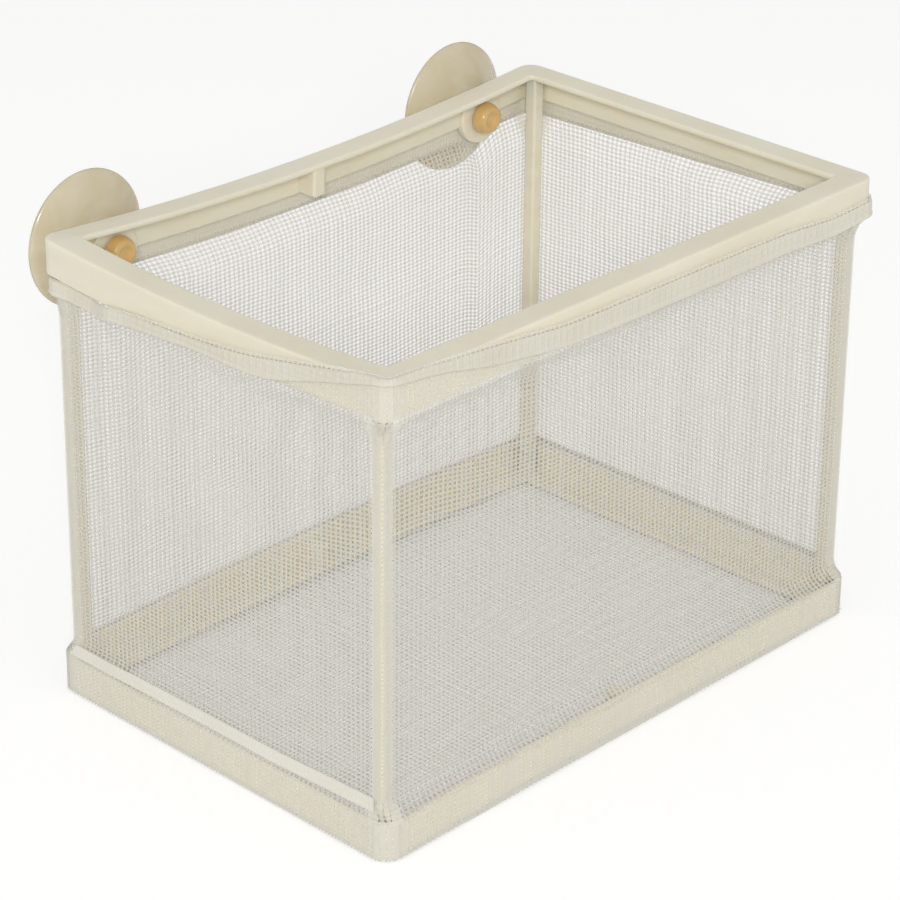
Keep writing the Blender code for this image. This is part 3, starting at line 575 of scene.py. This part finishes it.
# The net's four walls
def netWall(side, settings):
    # Upright threads at even shares of the wall, level threads at even shares of each upright's
    # length; both wander by less than half a millimetre. Uprights lie outside the level ones.
    length = 2 * (sideHalf[side] - netSizes["flatInset"][(side + 1) % 2])
    height = wallHeight(side)
    columns = round(length / netSizes["uprightPitch"])
    rows = round(height / netSizes["levelPitch"])
    rng = np.random.default_rng(settings["seed"])
    share = (np.arange(columns) + 0.5 + rng.normal(0, settings["jitter"], columns)) / columns
    lowBend, topBend = settings["bends"]   # points lie closer where the wall bends over the frames
    along = np.concatenate([
        np.linspace(0, lowBend, 22, endpoint=False),
        np.linspace(lowBend, topBend, 26, endpoint=False),
        np.linspace(topBend, 1, 30),
    ])
    share, fraction = np.broadcast_arrays(share[:, None], along[None, :])
    bend = waves(share * length, fraction * height, settings["seed"] + 1, settings["waveLength"])
    wander = settings["wander"] * bend
    bow = np.sin(np.pi * np.clip(share, 0, 1))
    moved = np.clip(share + wander * bow / length, 0, 1)
    points, outward = bagPoints(side, moved, fraction, settings["outer"])
    beside = np.cross(outward, np.array([0.0, 0.0, 1.0]))
    uneven = rng.normal(0, 1, columns)[:, None].clip(-1.5, 1.5)
    even = 1 + settings["uneven"] * uneven + 0 * fraction
    backing = backingOf(side, points)
    depth = netSizes["upright"][1] * (1 - netSizes["flush"] * backing)
    # On plastic the gaps between the threads can't be seen, so they are drawn wide and flat there
    wide = netSizes["upright"][0] * even * (1 + netSizes["spread"] * backing)
    uprights = (points, beside, (wide, depth), rng.uniform(0.3, 1, columns), backing)
    level = (np.arange(rows) + settings["firstLevel"] + rng.normal(0, settings["jitter"], rows)) / rows
    corner = settings["corner"]   # points lie closer too where it bends round the posts
    edge = np.linspace(0, corner, 11, endpoint=False)
    across = np.concatenate([edge, np.linspace(corner, 1 - corner, 44, endpoint=False), 1 - edge[::-1]])
    fraction, share = np.broadcast_arrays(level[:, None], across[None, :])
    bend = waves(share * length, fraction * height, settings["seed"] + 2, settings["waveLength"])
    wander = settings["wander"] * bend
    points, outward = bagPoints(side, share, np.clip(fraction + wander / height, 0, 1), settings["inner"])
    backing = backingOf(side, points)
    depth = netSizes["level"][1] * (1 - netSizes["flush"] * backing)
    wide = netSizes["level"][0] * (1 + netSizes["spread"] * backing)
    levels = (points, outward, (depth, wide), rng.uniform(0, 0.7, rows), backing)
    wall = threadTubes("netWall" + sideNames[side], [uprights, levels])
    dress(wall, whiteThread)
    return wall, (length, height)


wallSettings = {
    "wander": 0.0005, "waveLength": 0.024, "jitter": 0.04, "uneven": 0.10,
    "outer": 0.00005, "inner": -0.00004, "firstLevel": 0.4, "bends": (0.16, 0.82), "corner": 0.045,
}
netWalls = []
for side in range(4):
    wall, flat = netWall(side, {**wallSettings, "seed": 11 + 7 * side})
    netWalls.append((wall, flat))
    print("net wall", sideNames[side], len(wall.data.polygons), "faces, flat", flat)


# The net's floor
def netFloor(settings):
    # Threads both ways just above the ground, out to the walls' lower edge, with a slight wander; in
    # the corners each ends on a quarter circle
    reachX, reachY = halfLength + settings["beyond"], halfWidth + settings["beyond"]
    corner = boxSizes["baseRadius"]
    rng = np.random.default_rng(settings["seed"])
    bundles = []
    for across, reach, other, size, pitch, height in (
        (0, reachX, reachY, netSizes["upright"], netSizes["uprightPitch"], settings["upper"]),
        (1, reachY, reachX, netSizes["level"], netSizes["levelPitch"], settings["lower"]),
    ):
        count = round(2 * reach / pitch)
        even = np.arange(count) + 0.5 + rng.normal(0, settings["jitter"], count)
        place = even / count * 2 * reach - reach
        short = np.clip(np.abs(place) - (reach - corner), 0, corner)
        end = other - corner + np.sqrt(np.clip(corner**2 - short**2, 0, None))
        u = np.linspace(-1, 1, 34)
        lengthways = u[None, :] * end[:, None]
        bend = waves(place[:, None] + 0 * lengthways, lengthways, settings["seed"] + across,
                     settings["waveLength"])
        sideways = place[:, None] + settings["wander"] * bend
        lines = np.empty((*lengthways.shape, 3))
        lines[..., across] = sideways
        lines[..., 1 - across] = lengthways
        lines[..., 2] = height
        upright = np.broadcast_to(np.array([0.0, 0.0, 1.0]), lines.shape)
        under = np.minimum(halfLength - np.abs(lines[..., 0]), halfWidth - np.abs(lines[..., 1]))
        backing = smooth(0.5 - (under - settings["shelf"]) / settings["shelfEdge"])
        bundles.append((lines, upright, (size[1], size[0]), rng.uniform(0, 1, count), backing))
    floorNet = threadTubes("netFloorThreads", bundles)
    dress(floorNet, whiteThread)
    return floorNet


floorNet = netFloor({
    "seed": 91, "wander": 0.0004, "waveLength": 0.03, "jitter": 0.05, "beyond": 0.0001,
    "upper": 0.00030, "lower": 0.00020, "shelf": 0.0076, "shelfEdge": 0.001,
})
print("net floor made", len(floorNet.data.polygons))


# The hem
def ringLength(side):  # one side of the top frame: a straight and an eighth of a circle at each end
    arc = boxSizes["topRadius"] * math.pi / 4
    return 2 * arc + 2 * (sideHalf[side] - boxSizes["topRadius"])


def ringShares(spacing):
    # For each side, even shares of it at this spacing and their ways all round the top frame
    shares, ways, start = [], [], 0.0
    for side in range(4):
        length = ringLength(side)
        count = round(length / spacing)
        share = np.arange(count) / count
        shares.append(share)
        ways.append(start + share * length)
        start += length
    return shares, ways, start


def layTape(piece, uv):  # a UV map in metres along and across the tape, given point by point
    layer = piece.data.uv_layers.new(name="tapeWay")
    corners = np.empty(len(piece.data.loops), np.int32)
    piece.data.loops.foreach_get("vertex_index", corners)
    layer.data.foreach_set("uv", uv.reshape(-1, 2)[corners].astype(np.float32).reshape(-1))


def hemCasing(settings):
    # A closed shell round the top frame: folded edge at the mouth, a flat casing with gathers as
    # sine ripples across the run, a round ridge over the elastic, and a flat back near the plastic.
    shares, ways, total = ringShares(settings["spacing"])
    gap, thick, roll = hemSizes["gap"] - settings["closer"], hemSizes["thickness"], hemSizes["roll"]
    rings, uvs = [], []
    for side in range(4):
        share, way = shares[side], ways[side]
        t = ringPlan(side, share, 0.0, boxSizes["topRadius"])[2]
        mouth = mouthReach(side, t)
        ridge = mouth - casingReach(side, t)
        phase = 1.4 * waves(way, way * 0, settings["seed"], settings["phaseLength"])
        strength = 0.6 + 0.4 * waves(way, way * 0, settings["strengthSeed"], settings["strengthLength"])
        gather = np.sin(way / settings["gather"] * math.tau + phase * 3) * strength
        fine = waves(way, way * 0, settings["seed"] + 3, settings["fineLength"])
        reaches, offsets = [], []
        for angle in np.radians([-90, -45, 0, 45, 80]):  # the folded edge at the mouth
            reaches.append(mouth - thick / 2 + thick / 2 * math.cos(angle) + settings["edgeWave"] * fine)
            offsets.append(gap + thick / 2 + thick / 2 * math.sin(angle) + 0 * mouth)
        for u in np.linspace(0.14, 0.86, 9):  # the casing's outer face
            swell = math.sin(math.pi * u) * (settings["swell"] + settings["ripple"] * gather)
            reaches.append(mouth + (ridge - mouth) * u)
            offsets.append(gap + thick + swell + settings["faceWave"] * fine)
        rollSize = roll * (1 + 0.10 * fine + 0.08 * gather)
        for angle in np.radians([60, 90, 120, 150, 180, 210, 240]):  # the ridge over the elastic
            reaches.append(ridge - roll + rollSize * np.cos(angle))
            offsets.append(gap + roll + rollSize * np.sin(angle))
        for u in (0.05, 0.35, 0.65, 0.9):  # the back
            reaches.append(ridge + (mouth - ridge) * u)
            offsets.append(gap + 0 * mouth)
        reach = np.stack(reaches, axis=1)
        offset = np.stack(offsets, axis=1)
        rings.append(framePoint(side, share[:, None], reach, offset))
        uvs.append(np.stack([np.broadcast_to(way[:, None], reach.shape), reach], axis=-1))
    points = np.concatenate(rings)
    uv = np.concatenate(uvs)
    count, around = points.shape[:2]
    index = np.arange(count * around).reshape(count, around)
    after, inward = np.roll(index, -1, axis=0), np.roll(index, -1, axis=1)
    both = np.roll(after, -1, axis=1)
    quads = np.stack([index, after, both, inward], axis=-1).reshape(-1, 4)
    flat = points.reshape(-1, 3)
    if volumeOf(flat, quads) < 0:
        quads = quads[:, ::-1]
    hem = meshOf("hemCasing", flat, quads)
    layTape(hem, uv)
    shadeSmooth(hem, 70)
    dress(hem, shadedHemTape)
    return hem, total


hem, hemLength = hemCasing({
    "spacing": 0.00029, "closer": 0.0001, "seed": 31, "strengthSeed": 5,
    "gather": 0.0023, "phaseLength": 0.03, "strengthLength": 0.011, "fineLength": 0.0021,
    "swell": 0.00010, "ripple": 0.00009, "edgeWave": 0.00005, "faceWave": 0.00003,
})
print("hem made", len(hem.data.polygons), "faces, length", hemLength)


def frillShare(side, t):
    # The frill's height as a share: a quarter where the mouth lies at the skirt's lower edge, all
    # of it where the mouth lies 2.2 mm higher or more
    return 0.25 + 0.75 * smooth((mouthReach(side, t) - 0.0006) / 0.0016)


def mouthFrill(settings):
    # Short rows of net left standing above the casing: uprights that lean to the plastic, each
    # straight from its root below the mouth, and two level threads at shares of the height
    bundles = []
    rng = np.random.default_rng(settings["seed"])
    for side in range(4):
        length = ringLength(side)
        count = round(length / netSizes["uprightPitch"])
        share = (np.arange(count) + 0.5 + rng.normal(0, settings["jitter"], count)) / count
        shares, steps = np.broadcast_arrays(share[:, None], np.linspace(0, 1, 5)[None, :])
        _, outward, t = ringPlan(side, shares, 0.0, boxSizes["topRadius"])
        uneven = (1 + settings["uneven"] * rng.normal(0, 1, count))[:, None]
        tall = settings["tall"] * uneven * frillShare(side, t)
        reach = mouthReach(side, t) - settings["root"] + (tall + settings["root"]) * steps
        offset = hemSizes["gap"] + settings["rootLift"] - settings["lean"] * steps
        lines = framePoint(side, shares, reach, offset)
        flatOut = np.concatenate([outward, np.zeros(shares.shape)[..., None]], axis=-1)
        beside = np.cross(flatOut, np.array([0.0, 0.0, 1.0]))
        halfSizes = (netSizes["upright"][0] * 0.7, netSizes["upright"][1])
        bundles.append((lines, beside, halfSizes, rng.uniform(0.2, 1, count), 1.0))
        across = np.linspace(0, 1, settings["levelPoints"][side % 2])
        t = ringPlan(side, across, 0.0, boxSizes["topRadius"])[2]
        full = settings["tall"] * frillShare(side, t)
        levels = []
        for k, part in enumerate(settings["levels"]):
            bend = waves(across * length, 0 * across, settings["seed"] + k, settings["waveLength"])
            levels.append(mouthReach(side, t) + full * part + settings["wave"] * bend)
        reach = np.stack(levels)
        across = np.broadcast_to(across, reach.shape)
        lines = framePoint(side, across, reach, hemSizes["gap"] + settings["levelLift"] + 0 * reach)
        outward = ringPlan(side, across, 0.0, boxSizes["topRadius"])[1]
        tilted = np.concatenate([outward, 0.6 * np.ones(reach.shape)[..., None]], axis=-1)
        halfSizes = (netSizes["level"][1], netSizes["level"][0] * 0.6)
        bundles.append((lines, tilted, halfSizes, np.array([0.5, 0.7]), 1.0))
    frill = threadTubes("mouthFrill", bundles)
    dress(frill, whiteThread)
    return frill


frill = mouthFrill({
    "seed": 57, "tall": 0.00085, "jitter": 0.06, "uneven": 0.12,
    "root": 0.0004, "rootLift": 0.00045, "lean": 0.00025,
    "levels": (0.42, 0.92), "levelPoints": (260, 180), "levelLift": 0.00028,
    "wave": 0.00008, "waveLength": 0.004,
})
print("frill made", len(frill.data.polygons))


# The seam bands
def seamBand(side, settings):
    # A strip along one short side that follows the bag outside, with slightly waved edges. Its outer
    # face swells by 1 - |2 * part - 1|^6, where part goes from 0 to 1 across the strip.
    count = settings["steps"]
    share = np.linspace(settings["margin"], 1 - settings["margin"], count)
    height = wallHeight(side)
    start = (boxSizes["baseWall"] + settings["above"]) / height
    end = start + settings["width"] / height
    way = share * 2 * sideHalf[side]
    coarse = waves(way, way * 0, settings["seed"], settings["coarseLength"])
    fine = waves(way, way * 0, settings["seed"] + 1, settings["fineLength"])
    wave = settings["coarse"] * coarse + settings["fine"] * fine
    outerParts, innerParts = np.linspace(0, 1, 10), np.linspace(1, 0, 5)
    parts = np.concatenate([outerParts, innerParts])
    columns = []
    for i, part in enumerate(parts):
        lift = settings["lift"]
        if i < len(outerParts):
            half = 0.5 * settings["thickness"]
            lift = lift + half + half * (1 - abs(2 * part - 1) ** 6)
        edgeShare = 1 if 0 < part < 1 else 0.6
        fraction = start + (end - start) * part + wave / height * edgeShare
        points, _ = bagPoints(side, share, fraction, lift)
        columns.append(points)
    points = np.stack(columns, axis=1)
    around = points.shape[1]
    index = np.arange(count * around).reshape(count, around)
    inward = np.roll(index, -1, axis=1)
    quads = np.stack([index[:-1], index[1:], inward[1:], inward[:-1]], axis=-1).reshape(-1, 4)
    flat = points.reshape(-1, 3)
    # Each end is closed by a fan from its first point
    fans = []
    for ring, turned in ((index[0], False), (index[-1], True)):
        fan = np.stack([np.repeat(ring[0], around - 2), ring[1:-1], ring[2:]], axis=-1)
        fans.append(fan[:, ::-1] if turned else fan)
    triangles = np.concatenate(fans)
    if volumeOf(flat, quads) < 0:
        quads = quads[:, ::-1]
    else:
        triangles = triangles[:, ::-1]
    band = meshOf("seamBand" + sideNames[side], flat, quads, triangles[:, ::-1])
    uv = np.stack(np.broadcast_arrays(way[:, None], parts[None, :] * settings["width"]), axis=-1)
    layTape(band, uv)
    shadeSmooth(band, 70)
    dress(band, seamTape)
    return band


seamSettings = {
    "above": 0.0016, "width": 0.0028, "thickness": 0.00016, "lift": 0.00018,
    "margin": 0.024, "steps": 380, "seed": 71,
    "coarse": 0.00008, "coarseLength": 0.004, "fine": 0.00005, "fineLength": 0.0015,
}
seamLeft = seamBand(1, seamSettings)
seamRight = seamBand(3, seamSettings)
print("seam bands made")


# The suction cups
def suctionCup(name, centreX, settings):
    # A profile of (radius, distance from the ear's back) points turned about the cup's axis, with
    # Catmull-Rom between the points: half of 2s + (e-b)u + (2b-5s+4e-a)u^2 + (3s-b-3e+a)u^3
    profile = np.array(settings["profile"])
    dense = [profile[0]]
    count = len(profile)
    for i in range(count - 1):
        start, end = profile[i], profile[i + 1]
        before, after = profile[max(i - 1, 0)], profile[min(i + 2, count - 1)]
        for u in np.linspace(0, 1, settings["between"] + 1)[1:]:
            square = (2 * before - 5 * start + 4 * end - after) * u**2
            cube = (3 * start - before - 3 * end + after) * u**3
            dense.append(0.5 * (2 * start + (end - before) * u + square + cube))
    dense = np.array(dense)
    dense[0, 0] = dense[-1, 0] = 0
    steps = settings["steps"]
    angles = np.arange(steps) / steps * math.tau
    inner = dense[1:-1]
    centre = np.array([centreX, settings["earBack"], settings["height"]])
    rings = np.empty((len(inner), steps, 3))
    rings[..., 0] = inner[:, None, 0] * np.cos(angles)
    rings[..., 1] = inner[:, None, 1]
    rings[..., 2] = inner[:, None, 0] * np.sin(angles)
    points = np.concatenate([rings.reshape(-1, 3), [[0, dense[0, 1], 0]], [[0, dense[-1, 1], 0]]]) + centre
    index = np.arange(len(inner) * steps).reshape(len(inner), steps)
    after = np.roll(index, -1, axis=1)
    quads = np.stack([index[:-1], after[:-1], after[1:], index[1:]], axis=-1).reshape(-1, 4)
    first, last = len(points) - 2, len(points) - 1
    caps = np.concatenate([
        np.stack([np.full(steps, first), after[0], index[0]], axis=-1),
        np.stack([np.full(steps, last), index[-1], after[-1]], axis=-1),
    ])
    if volumeOf(points - centre, quads) < 0:
        quads, caps = quads[:, ::-1], caps[:, ::-1]
    cup = meshOf(name, points, quads, caps)
    shadeSmooth(cup, 50)
    dress(cup, cupVinyl)
    return cup


cupSettings = {
    "earBack": 0.0554, "height": boxSizes["height"] - boxSizes["earDrop"], "between": 4, "steps": 128,
    "profile": (
        (0, 0.0081), (0.0052, 0.0084), (0.0102, 0.0093), (0.0143, 0.0106), (0.0160, 0.0113),   # cavity
        (0.0168, 0.01155), (0.0174, 0.0114), (0.0175, 0.0110), (0.0171, 0.0104),   # lip
        (0.0151, 0.0094), (0.0110, 0.0077), (0.0068, 0.0066), (0.0058, 0.0058),   # back of the dish
        (0.0053, 0.0050), (0.0040, 0.0046), (0.0027, 0.0044),
        (0.0025, 0.0040), (0.0025, 0.0010), (0.0025, -0.0003),   # neck
        (0.0033, -0.0004), (0.0040, -0.0006), (0.0042, -0.0011), (0.0042, -0.0018),   # knob
        (0.0038, -0.0031), (0.0033, -0.0038), (0.0024, -0.0039), (0.0013, -0.0033), (0, -0.0031),
    ),
}
cupX = halfLength - boxSizes["earMargin"]
cups = {
    "cup_left": suctionCup("suctionCupLeft", -cupX, cupSettings),
    "cup_right": suctionCup("suctionCupRight", cupX, cupSettings),
}
print("cups made")

# What each piece rides on and stands for
wallNodes = ("net_rear", "net_left", "net_front", "net_right")
for (wall, flat), node in zip(netWalls, wallNodes):
    carry(wall, "box", "white_netting", node)
carry(floorNet, "box", "white_netting", "net_floor")
carry(hem, "box", "white_hem_tape", "net_hem", "hem_elastic")
carry(frill, "box", "white_netting")
carry(seamLeft, "box", "white_hem_tape", "seam_left")
carry(seamRight, "box", "white_hem_tape", "seam_right")
carry(cups["cup_left"], "cup_left", "clear_amber_pvc", "suction_cup_left")
carry(cups["cup_right"], "cup_right", "clear_amber_pvc", "suction_cup_right")


# Floor, light and camera
def stageFloor(settings):
    # A wide flat floor. It reads as white to the camera, and in gloss and clear vinyl, without more
    # light on the box, and keeps the box's shadow.
    reach = settings["reach"]
    corners = [(-reach, -reach, 0), (reach, -reach, 0), (reach, reach, 0), (-reach, reach, 0)]
    mesh = bpy.data.meshes.new("studioFloor")
    mesh.from_pydata(corners, [], [(0, 1, 2, 3)])
    floor = bpy.data.objects.new("studioFloor", mesh)
    bpy.context.scene.collection.objects.link(floor)
    floor.location.z = -settings["drop"]
    material, tree, shader, _ = newMaterial("whiteSweep")
    ray = addNode(tree, "ShaderNodeLightPath")
    seen = ray.outputs["Is Camera Ray"]
    for kind in ("Is Glossy Ray", "Is Transmission Ray"):
        either = addNode(tree, "ShaderNodeMath", {"operation": "MAXIMUM"}, i0=seen, i1=ray.outputs[kind])
        seen = either.outputs[0]
    glow = addNode(tree, "ShaderNodeMath", {"operation": "MULTIPLY", 1: settings["glow"]}, i0=seen)
    tree.links.new(shader.inputs["Emission Strength"], glow.outputs[0])
    setShader(shader, {
        "Base Color": linear(settings["colour"]), "Roughness": 0.9, "Specular IOR Level": 0.1,
        "Emission Color": (1, 1, 1, 1),
    })
    dress(floor, material)


def studioLight(settings):  # an even white world, and square lamps that aim at the box's middle
    world = bpy.data.worlds.new("studioWorld")
    bpy.context.scene.world = world
    world.use_nodes = True
    background = world.node_tree.nodes["Background"]
    background.inputs["Color"].default_value = (1, 1, 1, 1)
    background.inputs["Strength"].default_value = settings["sky"]
    for name, place, size, power in settings["lamps"]:
        lamp = bpy.data.lights.new(name, "AREA")
        lamp.shape = "SQUARE"
        lamp.size = size
        lamp.energy = power
        holder = bpy.data.objects.new(name, lamp)
        holder.location = place
        aim = -np.array(place) + np.array(settings["aim"])
        holder.rotation_euler = Vector(aim).to_track_quat("-Z", "Y").to_euler()
        bpy.context.scene.collection.objects.link(holder)


def photoCamera(settings):
    # The camera's back points along (cos el cos az, cos el sin az, sin el); it is turned about
    # that line by a small roll
    az, el, roll = (math.radians(settings[key]) for key in ("azimuth", "elevation", "roll"))
    back = np.array([math.cos(el) * math.cos(az), math.cos(el) * math.sin(az), math.sin(el)])
    right = np.array([-math.sin(az), math.cos(az), 0])
    up = np.cross(back, right)
    rolledRight = math.cos(roll) * right + math.sin(roll) * up
    rolledUp = -math.sin(roll) * right + math.cos(roll) * up
    lens = bpy.data.cameras.new("photoCamera")
    lens.sensor_width = settings["sensor"]
    lens.lens = settings["lens"]
    lens.shift_x, lens.shift_y = settings["shift"]
    lens.clip_start, lens.clip_end = settings["clip"]
    camera = bpy.data.objects.new("photoCamera", lens)
    matrix = np.eye(4)
    matrix[:3] = np.column_stack([rolledRight, rolledUp, back, settings["place"]])
    camera.matrix_world = Matrix(matrix.tolist())
    bpy.context.scene.collection.objects.link(camera)
    bpy.context.scene.camera = camera


stageFloor({"reach": 6.0, "drop": 0.0001, "colour": "e8e8e7", "glow": 0.34})
studioLight({
    "sky": 0.62, "aim": (0, 0, 0.06),
    "lamps": (("frontPanel", (-1.92, -1.89, 1.38), 0.6, 38.0),),   # name, place, size, power
})
photoCamera({
    "azimuth": -135.439, "elevation": 25.172, "roll": 0.203, "lens": 134.4, "sensor": 36,
    "shift": (0.0440, -0.0882), "place": (-0.5416, -0.5146, 0.4288), "clip": (0.05, 20),
})
bpy.context.scene.view_settings.view_transform = "Standard"
print("stage set")

bpy.context.view_layer.update()
